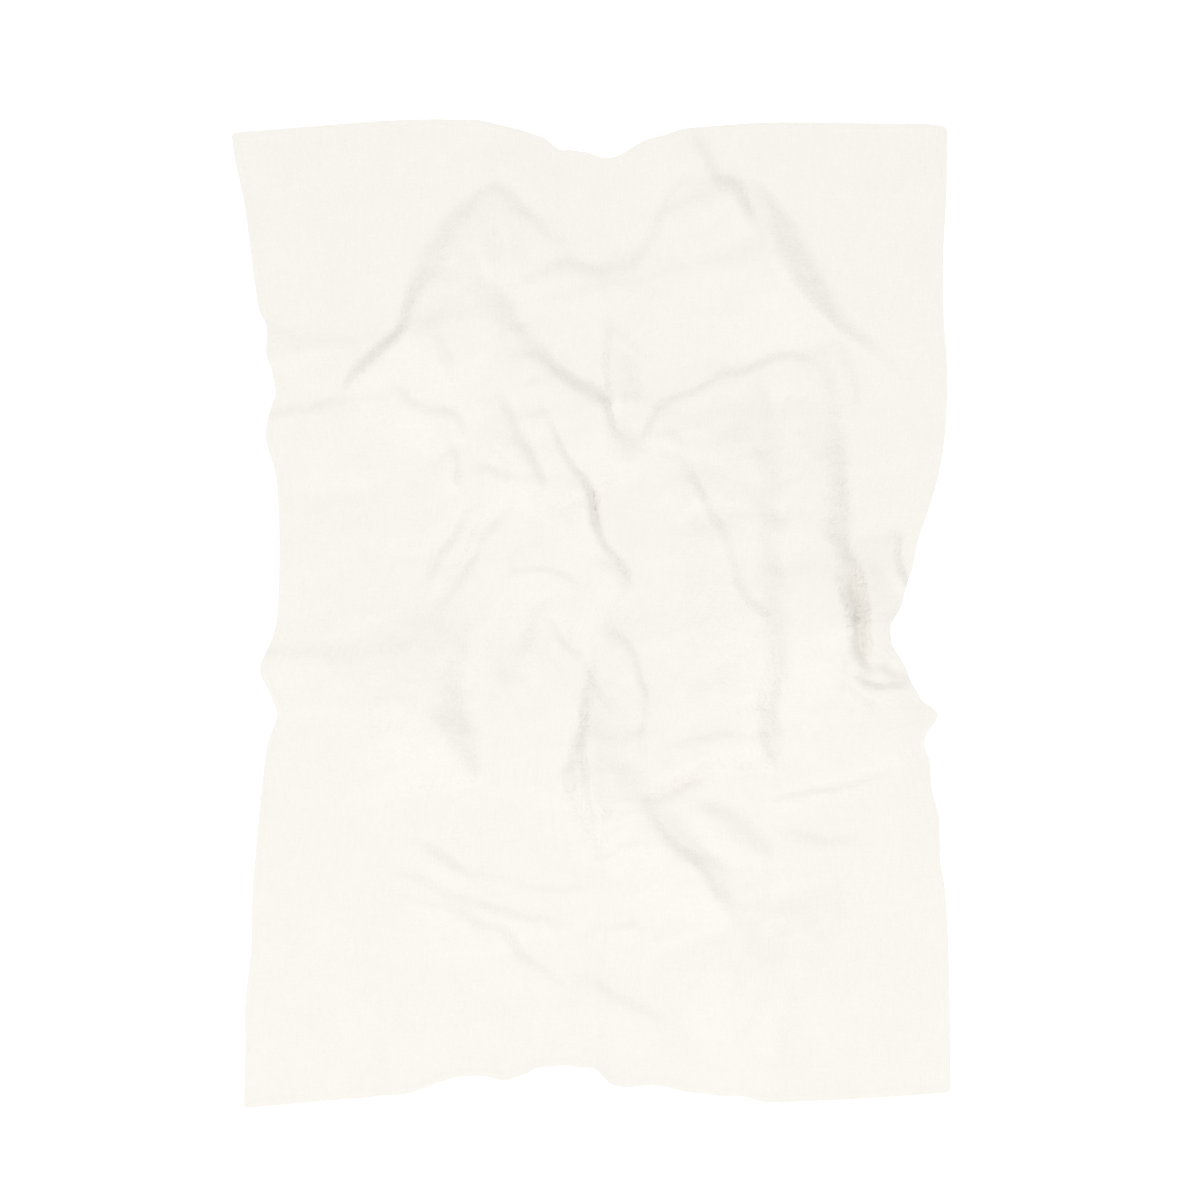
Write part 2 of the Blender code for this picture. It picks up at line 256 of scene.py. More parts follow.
        (-358, -416, 0), (-345, -436, 3), (-322, -446, 3), (-305, -456, 6.5), (-285, -475, 8),
        (-258, -493, 6.5), (-225, -500, 3), (-180, -507, 2), (-130, -524, 2.5), (-70, -530, 2.5),
        (-10, -524, 2), (50, -512, 0))),
    Slope("swag_b", 16, 0.0, 30, (
        (-400, -486, 0), (-350, -508, 3.5), (-290, -536, 6), (-240, -554, 6), (-180, -574, 6),
        (-130, -584, 4.5), (-80, -592, 3.5), (-30, -606, 0))),
    Slope("swag_c", 22, 0.0, 70, (
        (-398, -533, 0), (-340, -550, 4), (-285, -560, 5.5), (-255, -574, 9), (-220, -595, 10),
        (-180, -610, 7.5), (-155, -630, 10), (-140, -658, 10), (-105, -683, 5.5), (-70, -706, 4),
        (-38, -730, 0))),
    Slope("swag_d", 38, 0.0, 55, (
        (-28, -686, 0), (5, -705, 6), (35, -727, 8), (70, -745, 8), (110, -767, 6.5), (150, -793, 4),
        (188, -812, 0))),
    Slope("swag_e", 11, 0.0, 30, (
        (-46, -646, 0), (-20, -632, 4), (20, -613, 4), (70, -603, 5), (112, -593, 0))),
    Slope("swag_f", 11, 0.0, 22, (
        (-16, -476, 0), (10, -468, 4), (40, -458, 5), (58, -438, 4), (68, -418, 0))),
    Slope("foot_band_right", 85, 0.0, 90, (
        (492, -430, 0), (484, -500, 6), (474, -570, 13), (458, -640, 18), (430, -695, 18),
        (404, -745, 16), (388, -800, 15), (374, -880, 12), (364, -990, 8))),
    Slope("foot_band_left", 70, 0.0, 90, (
        (350, -490, 0), (336, -545, 7.5), (320, -610, 15), (300, -680, 18), (282, -750, 14),
        (268, -835, 0))),
    Slope("foot_crease", 38, 0.0, 40, (
        (-414, -670, 0), (-407, -740, 6), (-401, -830, 8), (-402, -900, 8), (-402, -1000, 8))),
)

# Rolls: rounded ridges (height above 0) and troughs (below 0) along a path.
Roll = namedtuple("Roll", "name width path")
ROLLS = (
    Roll("swell", 400, ((-150, 620, 0), (-90, 330, 20), (-20, 0, 24), (50, -310, 20), (110, -600, 0))),
    Roll("right_swell", 125, (
        (395, 420, 0), (400, 260, 7), (405, 120, 9), (405, 0, 9), (405, -130, 8), (400, -280, 0))),
    Roll("top_rise", 90, ((45, 700, 0), (38, 800, 5), (32, 900, 9), (28, 1000, 9))),
    Roll("foot_rise", 95, ((-40, -640, 0), (-45, -800, 6), (-50, -960, 9), (-50, -1050, 9))),
    Roll("shoulder_pinch", 10, (
        (-425, 502, 0), (-403, 518, -4), (-384, 535, -3), (-371, 560, -8), (-360, 588, -3),
        (-350, 615, 0))),
    Roll("tongue_pit", 10, ((22, 445, 0), (36, 415, -8), (44, 385, -9), (55, 352, -5), (62, 325, 0))),
    Roll("diagonal_lip", 7, (
        (338, 770, 0), (356, 722, 3), (377, 676, 4), (402, 632, 4), (435, 594, 4), (475, 562, 3),
        (515, 528, 2), (560, 490, 0))),
    Roll("upright_twin_a", 9, (
        (335, -105, 0), (332, -150, -4), (332, -190, -4), (338, -230, -3), (346, -262, -4),
        (352, -288, 0))),
    Roll("upright_twin_b", 8, ((364, -85, 0), (361, -130, -4), (356, -180, -4), (352, -222, 0))),
    Roll("long_crease_pit", 8, (
        (-14, 268, 0), (0, 240, -11), (6, 205, -15), (9, 175, -9), (15, 148, 0))),
    Roll("rake_a", 13, (
        (-232, 226, 0), (-255, 190, -5), (-281, 149, -9), (-300, 118, -7), (-316, 80, -5),
        (-334, 42, 0))),
    Roll("rake_ridge", 15, (
        (-195, 238, 0), (-222, 192, 2), (-250, 145, 2.5), (-276, 100, 2.5), (-300, 58, 2),
        (-322, 15, 0))),
    Roll("rake_b", 14, (
        (-148, 242, 0), (-172, 208, -6), (-205, 178, -9), (-226, 140, -9), (-241, 108, -12),
        (-258, 76, -9), (-284, 40, -6), (-304, 5, 0))),
    Roll("fork_left", 30, (
        (-98, 62, 0), (-122, 22, -10), (-140, -20, -14), (-152, -55, -14), (-162, -100, -7.5),
        (-168, -140, 0))),
    Roll("fork_ridge", 18, (
        (-88, 40, 0), (-98, 0, 3), (-106, -50, 3.5), (-104, -100, 2.5), (-98, -150, 0))),
    Roll("fork_right", 13, ((-74, 12, 0), (-58, -25, -8), (-38, -58, -10), (-16, -90, 0))),
    Roll("left_hem_band_a", 18, ((-720, 475, -2), (-600, 480, -2), (-520, 490, -1.5), (-470, 500, 0))),
    Roll("left_hem_band_b", 16, ((-720, 575, -2), (-600, 570, -2), (-500, 565, 0))),
    Roll("left_hem_swell", 60, ((-720, 500, 8), (-600, 510, 8), (-520, 520, 5), (-440, 530, 0))),
    Roll("left_middle_band", 22, (
        (-720, 235, -3), (-600, 228, -4), (-500, 235, -4), (-420, 250, -3), (-360, 262, 0))),
    Roll("lower_fold", 26, (
        (95, -330, 0), (130, -318, 3), (175, -296, 6), (225, -270, 7), (290, -256, 6), (335, -258, 4),
        (354, -274, 0))),
    Roll("lower_fold_under", 11, (
        (82, -354, 0), (120, -350, -7), (160, -338, -11), (195, -316, -12), (225, -298, -10),
        (260, -294, -7), (310, -297, -6), (352, -303, 0))),
    Roll("slant_pit", 8, (
        (112, -380, 0), (128, -398, -2.5), (153, -424, -3), (183, -451, -2.5), (210, -478, -2.5),
        (231, -506, -3), (246, -538, -3.5), (258, -566, 0))),
    Roll("foot_line_ridge", 9, (
        (328, -366, 0), (370, -362, 6), (410, -355, 7), (450, -348, 7), (490, -336, 6), (560, -319, 3),
        (620, -294, 0))),
    Roll("foot_ridge", 30, (
        (405, -535, 0), (398, -600, 4), (372, -680, 5), (342, -770, 5), (332, -860, 0))),
    Roll("foot_streak", 10, ((-216, -365, 0), (-214, -420, -3), (-212, -470, -2), (-210, -505, 0))),
)

# Patches: places with many small wrinkles side by side, in millimetres.
# x, y: middle. across, along: reach over the wrinkles and along them.
# turn: their direction in degrees from +X. step: distance from one wrinkle to the next.
# height: how high they stand.
Patch = namedtuple("Patch", "name x y across along turn step height")
PATCHES = (
    Patch("shoulder_streaks", -178, 725, 50, 95, 88, 17, 6.5),
    Patch("shoulder_face", -330, 650, 30, 110, 15, 13, 4.0),
    Patch("shoulder_foot", -432, 492, 60, 26, -50, 11, 3.4),
    Patch("left_hem_wrinkles", -545, 500, 55, 90, 80, 16, 2.0),
    Patch("bulge_wrinkles", -510, -68, 26, 110, 82, 15, 4.0),
    Patch("bulge_rake", -345, -122, 26, 50, -18, 12, 2.0),
    Patch("bulge_end_streaks", -272, -100, 30, 75, 84, 14, 1.8),
    Patch("upright_face", 482, 235, 130, 30, 8, 15, 2.6),
    Patch("trough_wrinkles", 508, -6, 34, 95, 80, 14, 8.0),
    Patch("trough_foot_streaks", 540, -88, 32, 40, -58, 14, 11.0),
    Patch("notch_wrinkles", 540, -138, 28, 60, -16, 13, 6.5),
    Patch("diagonal_face", 408, 670, 60, 60, 10, 13, 3.2),
    Patch("hem_right_wrinkles", 640, 560, 40, 90, 88, 14, 1.2),
    Patch("trough_streaks", -32, -320, 24, 45, 80, 14, 1.8),
    Patch("slant_face", 190, -440, 26, 80, -60, 12, 2.6),
)

# How the folds follow their paths, in metres and shares
PATH_STEPS = 5  # pieces into which each stretch of a path is cut
SHORTEST_PIECE = 1e-9  # keeps a piece of a path from having no length
SOFTENING = 0.55  # how far a path's height is averaged, as a share of the distance from it
SOFTENING_LEAST = 0.010  # how far it is averaged on the path itself
END_FADE = 0.030  # way from the ends of a path over which its height fades in
REACH = 2.6  # a fold is worked out as far as this many of its widths or backs
PATH_SHIFT = 0.3  # how far a full lean moves the path from the slope's middle, as a share of its width
ROUNDING = 0.32  # share of a slope's width that is rounded at its foot and at its crest
NARROWEST = 0.3  # share of its width that a slope keeps where it runs out
WIDTH_WANDER = 0.30  # how much a slope grows wider and narrower on its way, as a share of its width
WANDER_SIZE = 0.045  # way over which it does so
WRINKLE_LENGTH = 4.5  # length of a small wrinkle, in steps

# Gathers: small wrinkles that run down each slope
GATHER_SIZE = 0.011  # distance from one to the next
GATHER_HEIGHT = 0.0012
GATHER_SQUEEZE = 0.3  # share of the way down the slope that counts in their pattern, so they are long
GATHER_LEVEL = 0.35  # taken off their pattern, so that they stand as much below the slope as above it
GATHER_FULL = 0.03  # height and width of a slope from which its gathers have their full height
GATHER_PLACE = 0.2  # where they are highest, as a share of the slope's width
GATHER_SPREAD = 0.7  # their reach up and down the slope, as a share of its width

# Where the cloth lies and where it lifts off
LYING_BELOW = 0.002  # folds lower than this lie flat
LIFTING_OVER = 0.002  # rise over which the cloth lifts off
CRUMPLED_OVER = 0.012  # rise over which the crinkles grow to their full height

# Crumpling: unevenness that runs through the whole cloth
NET_KNOTS = 128  # knots of the net of random values, each way
WARP_SIZE = 0.055  # folds wander to and fro over this way
WARP_SHIFT = 0.0045  # and by this much
WARP_FINER = 2.3  # a second, half as strong wandering is this many times finer
CRINKLE_SIZES = (0.110, 0.050, 0.022)
CRINKLE_HEIGHTS = (0.0036, 0.0014, 0.0005)
CRINKLE_TURN = 0.4  # sideways slant of the crinkles, as rise over run
CROSSING_TURN = 0.7  # slant of the second set that crosses them
CROSSING_SIZE = 0.8  # its size beside the first set's
CROSSING_SHARE = 0.6  # its height beside the first set's
CALM = 0.25  # share of the crinkles left where the cloth lies flat
STEEP = 0.8  # rise over run from which the cloth is at its most wrinkled
PUCKER_SIZE = 0.009  # puckers that the stitching draws in the hem
PUCKER_HEIGHT = 0.0002
GROOVE_DEPTH = 0.0003  # how deep the stitches draw in the cloth
GROOVE_REACH = 0.0012

# Seeds of the random draws
WARP_SEED_X = 11
WARP_SEED_Y = 13
CRINKLE_SEED = 21
CROSSING_SEED = 31
HEM_SEED = 51
GATHER_SEED = 100
SLOPE_SEED = 200
PATCH_SEED = 400

# Looks of the linen: sizes as scales of Blender's textures over the flat cloth in metres
LINEN_DARK = (0.855, 0.828, 0.780, 1)
LINEN_LIGHT = (0.905, 0.882, 0.838, 1)
LINEN_DARK_AT = 0.05  # value of the unevenness at which the cloth is dark, and at which it is light
LINEN_LIGHT_AT = 0.20
LINEN_ROUGHNESS = 0.92
LINEN_GLOSS = 0.25
LINEN_FUZZ = 0.12
LINEN_FUZZ_ROUGHNESS = 0.5
SLUB_FINE = 420  # slubs, across their thread and along it
SLUB_LONG = 18
SLUB_CROSSING = 0.6  # share of the slubs in the second direction
SLUB_SHADE = 0.10
SLUB_RELIEF = 0.0005
MOTTLE = 9
MOTTLE_SHADE = 0.08
WARP_THREADS = 350.0  # waves repeat 3.2 times their scale in a metre: about 11 threads to the centimetre
WEFT_THREADS = 330.0
THREAD_WOBBLE = 0.6
WEAVE_RELIEF = 0.0002
WEAVE_STRENGTH = 0.6
CREASE_GRAIN = 95.0  # fine creases, too small for the mesh
CREASE_ROUGHNESS = 0.55
CREASE_WOBBLE = 0.8
CREASE_RELIEF = 0.0029
CREASE_LEAST = 0.07  # their share where the cloth is level
CREASE_STEEP = 0.93  # share added where it is steep

# Looks of the thread
THREAD_DARK = (0.84, 0.81, 0.76, 1)
THREAD_LIGHT = (0.90, 0.88, 0.84, 1)
THREAD_TWIST = 900.0
THREAD_ROUGHNESS = 0.8

# Light: an even white room, and one broad lamp that stands a little to the foot and the left
WHITE = (1, 1, 1, 1)
ROOM_LIGHT = 0.848
LAMP_LIGHT = 690  # watts
LAMP_SIZE = 10.0
LAMP_FROM = (-1.3, -6.4, 13.0)

# Floor: so wide that its edge is out of sight from a low angle too
FLOOR_HALF = 80.0
FLOOR_DROP = 0.0006  # the floor is this much lower than the cloth, so that the two are never level
FLOOR_COLOUR = (0.98, 0.98, 0.98, 1)
FLOOR_ROUGHNESS = 0.9
FLOOR_GLOSS = 0.1
FLOOR_GLOW = 0.35  # the floor shines a little, so that hardly any shadow shows round the cover

# Camera: straight above
CAMERA_HEIGHT = 6.0
CAMERA_REACH = 100
FRAME_WIDTH = 2.328
FRAME_CENTRE = (0.0165, 0.030)
SENSOR = 36.0  # millimetres


def eased(share):
    """0 to 1 with level ends: s^2 (3 - 2s)."""
    s = np.clip(share, 0, 1)
    return s * s * (3 - 2 * s)


def ramp(share, foot, crest):
    """0 to 1, straight but for its ends, which are rounded (parabolas) over the shares foot and crest."""
    s = np.clip(share, 0, 1)
    rise = 1 / (1 - foot / 2 - crest / 2)
    middle = rise * (s - foot / 2)
    middle = np.where(s < foot, rise * s * s / (2 * foot), middle)
    return np.where(s > 1 - crest, 1 - rise * (1 - s) ** 2 / (2 * crest), middle)


def hem_line(start, end, swings, share, runs_in_x):
    """The hem from corner to corner: a straight line moved sideways by the sum of its swings.

    Each swing is shift * exp(-((place - at) / reach)^2), with its own reach on either side.
    """
    x = start[0] + (end[0] - start[0]) * share
    y = start[1] + (end[1] - start[1]) * share
    place = (x if runs_in_x else y) / MM
    shift = np.zeros_like(share)
    for swing in swings:
        reach = np.where(place < swing.at, swing.before, swing.after)
        shift += swing.shift * MM * np.exp(-(((place - swing.at) / reach) ** 2))
    shift *= 1 - np.abs(2 * share - 1) ** CORNER_HOLD
    return (x, y + shift) if runs_in_x else (x + shift, y)


def laid_out(u, v):
    """Where the share u across and v along the cloth lies: the surface blended between its four hems."""
    foot = hem_line(FOOT_LEFT, FOOT_RIGHT, FOOT_SWINGS, u, True)
    top = hem_line(TOP_LEFT, TOP_RIGHT, TOP_SWINGS, u, True)
    left = hem_line(FOOT_LEFT, TOP_LEFT, LEFT_SWINGS, v, False)
    right = hem_line(FOOT_RIGHT, TOP_RIGHT, RIGHT_SWINGS, v, False)
    place = []
    for axis in (0, 1):
        foot_corners = (1 - u) * FOOT_LEFT[axis] + u * FOOT_RIGHT[axis]
        top_corners = (1 - u) * TOP_LEFT[axis] + u * TOP_RIGHT[axis]
        between_ends = (1 - v) * foot[axis] + v * top[axis]
        between_sides = (1 - u) * left[axis] + u * right[axis]
        place.append(between_ends + between_sides - (1 - v) * foot_corners - v * top_corners)
    return place


def waves(x, y, size, seed):
    """Smooth unevenness from -1 to 1: values drawn at random for the knots of a square net of that size.

    Between knots they are blended by 6 t^5 - 15 t^4 + 10 t^3, and the net repeats after its last knot.
    """
    rng = np.random.default_rng(seed)
    knots = rng.uniform(-1, 1, (NET_KNOTS, NET_KNOTS))
    across = x / size + NET_KNOTS / 2
    along = y / size + NET_KNOTS / 2
    column = np.floor(across).astype(int)
    row = np.floor(along).astype(int)
    fx = across - column
    fy = along - row
    fx = fx**3 * (10 - 15 * fx + 6 * fx * fx)
    fy = fy**3 * (10 - 15 * fy + 6 * fy * fy)
    row = row % NET_KNOTS
    column = column % NET_KNOTS
    next_row = (row + 1) % NET_KNOTS
    next_column = (column + 1) % NET_KNOTS
    low = knots[row, column] * (1 - fx) + knots[row, next_column] * fx
    high = knots[next_row, column] * (1 - fx) + knots[next_row, next_column] * fx
    return low * (1 - fy) + high * fy


def smooth_path(path):
    """The path in metres, cut into short pieces on a smooth curve through its points (Catmull-Rom)."""
    points = np.array(path, float)
    points[:, :3] *= MM
    ends = np.vstack([2 * points[0] - points[1], points, 2 * points[-1] - points[-2]])
    share = np.arange(PATH_STEPS)[:, None] / PATH_STEPS
    pieces = []
    for i in range(len(points) - 1):
        a, b, c, d = ends[i : i + 4]
        pieces.append(0.5 * (
            2 * b + (c - a) * share + (2 * a - 5 * b + 4 * c - d) * share**2
            + (3 * b - a - 3 * c + d) * share**3))
    return np.vstack([*pieces, points[-1:]])


def along_path(x, y, path, reach):
    """For the points near a path: distance from it, way gone along it, and the path's own values there.

    The distance is positive on the path's right. The values are the height, then the share of the width
    where the path has one. They are means over the path, weighted by exp(-(distance^2 - least distance^2)
    / softness^2), where the softness grows with the least distance. The height fades out at both ends.
    """
    curve = smooth_path(path)
    low = curve[:, :2].min(0) - reach
    high = curve[:, :2].max(0) + reach
    near = (x > low[0]) & (x < high[0]) & (y > low[1]) & (y < high[1])
    px = x[near]
    py = y[near]
    best = np.full(px.shape, np.inf)
    side = np.zeros(px.shape)
    gone = np.zeros(px.shape)
    walked = 0.0
    for start, end in zip(curve[:-1], curve[1:]):
        way = end[:2] - start[:2]
        length = max(math.hypot(way[0], way[1]), SHORTEST_PIECE)
        share = np.clip(((px - start[0]) * way[0] + (py - start[1]) * way[1]) / length**2, 0, 1)
        dx = px - start[0] - way[0] * share
        dy = py - start[1] - way[1] * share
        distance = np.hypot(dx, dy)
        closer = distance < best
        best = np.where(closer, distance, best)
        side = np.where(closer, dx * way[1] - dy * way[0], side)
        gone = np.where(closer, walked + length * share, gone)
        walked += length
    softness = SOFTENING * best + SOFTENING_LEAST
    values = np.zeros((curve.shape[1] - 2, len(px)))
    weights = np.zeros(px.shape)
    for start, end in zip(curve[:-1], curve[1:]):
        middle = (start + end) / 2
        further = (px - middle[0]) ** 2 + (py - middle[1]) ** 2 - best**2
        weight = np.exp(-further / softness**2) * math.hypot(*(end - start)[:2])
        weights += weight
        values += weight * middle[2:, None]
    values /= weights
    values[0] *= eased(np.minimum(gone, walked - gone) / END_FADE)
    return near, np.where(side >= 0, best, -best), gone, values


def add_slope(total, x, y, slope, seed):
    """Adds a fold: a rise across its path, and behind its crest a fall of exp(-(distance / back)^2).

    The rise is a ramp, rounder at its foot where it leans to its crest, and the other way about. Its width
    follows the root of its height and wanders, and gathers run down it.
    """
    width = slope.width * MM
    back = slope.back * MM
    near, signed, gone, values = along_path(x, y, slope.path, REACH * max(width, back))
    rise = np.maximum(values[0], 0)
    highest = max(point[2] for point in slope.path) * MM
    width = width * np.maximum(np.sqrt(rise / highest), NARROWEST)
    width = width * (1 + WIDTH_WANDER * waves(gone, 0 * gone, WANDER_SIZE, seed))
    if len(values) > 1:
        width = width * values[1]
    place = 0.5 + PATH_SHIFT * slope.lean
    foot = ROUNDING * (1 + 2 * slope.lean if slope.lean > 0 else 1 + slope.lean)
    crest = ROUNDING * (1 - 2 * slope.lean if slope.lean < 0 else 1 - slope.lean)
    up = ramp(signed / width + place, foot, crest)
    behind = np.maximum(signed - width * (1 - place), 0)
    pattern = waves(gone, signed * GATHER_SQUEEZE, GATHER_SIZE, seed + GATHER_SEED)
    gathers = np.abs(pattern) - GATHER_LEVEL
    gathers *= GATHER_HEIGHT * np.minimum(rise / GATHER_FULL, 1) * np.minimum(width / GATHER_FULL, 1)
    gathers *= np.exp(-(((signed - GATHER_PLACE * width) / (GATHER_SPREAD * width)) ** 2))
    total[near] += rise * up * np.exp(-((behind / back) ** 2)) + gathers


def add_roll(total, x, y, roll):
    """Adds a ridge or a trough: its height times exp(-(distance / width)^2)."""
    width = roll.width * MM
    near, signed, _, values = along_path(x, y, roll.path, REACH * width)
    total[near] += values[0] * np.exp(-((signed / width) ** 2))


def add_patch(total, x, y, patch, seed):
    """Adds small wrinkles, stretched along one direction: height (0.5 - |waves|).

    They fade from the middle of the patch by exp(-(along / its reach)^2 - (across / its reach)^2).
    """
    turn = math.radians(patch.turn)
    dx = x - patch.x * MM
    dy = y - patch.y * MM
    along = dx * math.cos(turn) + dy * math.sin(turn)
    across = dy * math.cos(turn) - dx * math.sin(turn)
    fade = np.exp(-((along / (patch.along * MM)) ** 2) - (across / (patch.across * MM)) ** 2)
    step = patch.step * MM
    wrinkles = 0.5 - np.abs(waves(along / WRINKLE_LENGTH, across, step, seed))
    total += patch.height * MM * fade * wrinkles


def shifted(place, x, y, seed):
    """The place moved to and fro by waves of two sizes, the finer ones half as strong."""
    coarse = WARP_SHIFT * waves(x, y, WARP_SIZE, seed)
    fine = WARP_SHIFT / 2 * waves(x, y, WARP_SIZE / WARP_FINER, seed + 1)
    return place + coarse + fine


def fold_heights(x, y):
    """Height of all folds together over the points (x, y), which are first shifted a little to and fro."""
    wx = shifted(x, x, y, WARP_SEED_X)
    wy = shifted(y, x, y, WARP_SEED_Y)
    total = np.zeros_like(x)
    for number, slope in enumerate(SLOPES):
        add_slope(total, wx, wy, slope, SLOPE_SEED + number)
    for roll in ROLLS:
        add_roll(total, wx, wy, roll)
    for number, patch in enumerate(PATCHES):
        add_patch(total, wx, wy, patch, PATCH_SEED + number)
    return total


def crinkles(x, y, strength):
    """Small crinkles of three sizes, times their strength at each point.

    Each size adds height (0.5 - |first + share * second|): two slanting sets of waves, sharp along the back.
    """
    total = np.zeros_like(x)
    slant = CRINKLE_TURN
    cross = CROSSING_TURN
    for number, (size, height) in enumerate(zip(CRINKLE_SIZES, CRINKLE_HEIGHTS)):
        first = waves(x + slant * y, y - slant * x, size, CRINKLE_SEED + number)
        second = waves(x - cross * y, y + cross * x, size * CROSSING_SIZE, CROSSING_SEED + number)
        total += height * (0.5 - np.abs(first + CROSSING_SHARE * second))
    return total * strength


def underside(across, along):
    """Place of the underside for a point of the flat cloth.

    With r the folds' height above the one below which they lie flat, the cloth stands at r^2 / (r + lifting
    over). Crinkles come on top, growing with 1 - exp(-height / crumpled over).
    """
    x, y = laid_out(across / FLAT_WIDTH, along / FLAT_LENGTH)
    folds = fold_heights(x, y)
    raised = np.maximum(folds - LYING_BELOW, 0)
    height = raised**2 / (raised + LIFTING_OVER)
    crumpled = 1 - np.exp(-height / CRUMPLED_OVER)
    strength = CALM + (1 - CALM) * crumpled
    lifted = np.maximum(crinkles(x, y, strength), 0)
    return x, y, height + lifted


def rounded(across, along):
    """The same point, drawn in where it lies in a corner, which makes each corner a quarter circle.

    The way out from the corner's middle is multiplied by sqrt(1 - other way^2 / (2 radius^2)).
    """
    radius = CORNER_RADIUS
    middle_x = FLAT_WIDTH / 2
    middle_y = FLAT_LENGTH / 2
    side_x = np.sign(across - middle_x)
    side_y = np.sign(along - middle_y)
    out_x = np.abs(across - middle_x) - (middle_x - radius)
    out_y = np.abs(along - middle_y) - (middle_y - radius)
    inside = (out_x > 0) & (out_y > 0)
    drawn_x = out_x * np.sqrt(1 - np.clip(out_y, 0, None) ** 2 / (2 * radius**2))
    drawn_y = out_y * np.sqrt(1 - np.clip(out_x, 0, None) ** 2 / (2 * radius**2))
    across = np.where(inside, middle_x + side_x * (middle_x - radius + drawn_x), across)
    along = np.where(inside, middle_y + side_y * (middle_y - radius + drawn_y), along)
    return across, along


def lines_over(length, cells):
    """Places of the grid lines: those of the hem at both ends, and between them cells drawn to the middle.

    A line at the share s of the way lies at s + gathering * sin(2 pi s) / (2 pi).
    """
    hem = np.array(HEM_LINES)
    share = np.linspace(0, 1, cells + 1)
    share = share + GATHERING * np.sin(2 * np.pi * share) / (2 * np.pi)
    inner = hem[-1] + share * (length - 2 * hem[-1])
    return np.concatenate([hem[:-1], inner, length - hem[-2::-1]])


def hem_rise(across, along):
    """Extra height of the turned hem: the turned cloth with its puckers, less a groove along the stitches.

    The hem steps down to the cloth with eased ends, and the groove is exp(-(way from stitches / reach)^2).
    """
    from_side = np.minimum(across, FLAT_WIDTH - across)
    from_end = np.minimum(along, FLAT_LENGTH - along)
    from_edge = np.minimum(from_side, from_end)
    turned = 1 - eased((from_edge - HEM_WIDTH + HEM_STEP) / (2 * HEM_STEP))
    pucker = waves(across, along, PUCKER_SIZE, HEM_SEED) * PUCKER_HEIGHT
    groove = GROOVE_DEPTH * np.exp(-(((from_edge - STITCH_INSET) / GROOVE_REACH) ** 2))
    return np.maximum(turned * (HEM_RISE + pucker) - groove, 0)


def piece_from(name, points, faces, material, uv=None, steep=None):
    """A smooth piece in the scene, from its points and from faces that all have the same number of sides.

    uv is each point's place on the flat cloth, and steep how steeply the cloth stands there, from 0 to 1.
    """
    mesh = bpy.data.meshes.new(name)
    mesh.vertices.add(len(points))
    mesh.vertices.foreach_set("co", np.ascontiguousarray(points, np.float32).ravel())
    sides = faces.shape[1]
    mesh.loops.add(faces.size)
    mesh.loops.foreach_set("vertex_index", faces.astype(np.int32).ravel())
    mesh.polygons.add(len(faces))
    mesh.polygons.foreach_set("loop_start", np.arange(0, faces.size, sides, dtype=np.int32))
    mesh.update(calc_edges=True)
    mesh.validate()
    mesh.shade_smooth()
    if uv is not None:
        layer = mesh.uv_layers.new(name="flat_cloth")
        layer.uv.foreach_set("vector", uv[faces.ravel()].astype(np.float32).ravel())
    if steep is not None:
        held = mesh.attributes.new("steep", "FLOAT", "POINT")
        held.data.foreach_set("value", steep.astype(np.float32))
    mesh.materials.append(material)
    piece = bpy.data.objects.new(name, mesh)
    bpy.context.scene.collection.objects.link(piece)
    return piece


def grid_faces(rows, columns):
    """Four-sided faces of a grid of rows x columns points, facing up when x grows by column and y by row."""
    index = np.arange(rows * columns).reshape(rows, columns)
    return np.stack([index[:-1, :-1], index[:-1, 1:], index[1:, 1:], index[1:, :-1]], -1).reshape(-1, 4)


def make_cloth(material):
    """The sheet: its underside on a grid over the flat cloth, raised into folds and given its thickness."""
    across, along = np.meshgrid(lines_over(FLAT_WIDTH, CELLS_ACROSS), lines_over(FLAT_LENGTH, CELLS_ALONG))
    rows, columns = across.shape
    across, along = rounded(across.ravel(), along.ravel())
    x, y, z = underside(across, along)
    net = [values.reshape(rows, columns) for values in (x, y, z)]
    fall_x = np.gradient(net[2], axis=1) / np.maximum(np.gradient(net[0], axis=1), MM)
    fall_y = np.gradient(net[2], axis=0) / np.maximum(np.gradient(net[1], axis=0), MM)
    steep = np.clip(np.hypot(fall_x, fall_y) / STEEP, 0, 1).ravel()
    z = z + hem_rise(across, along)
    points = np.stack([x, y, z], -1)
    uv = np.stack([across, along], -1)
    cloth = piece_from("linen_cover", points, grid_faces(rows, columns), material, uv, steep)
    thickness = cloth.modifiers.new("thickness", "SOLIDIFY")
    thickness.thickness = CLOTH_THICKNESS
    thickness.offset = 1.0
    thickness.use_even_offset = False
    return cloth


def surface_point(across, along):
    """The place of the cloth's upper side over a point of the flat cloth."""
    x, y, z = underside(across, along)
    return np.stack([x, y, z + hem_rise(across, along) + CLOTH_THICKNESS], -1)


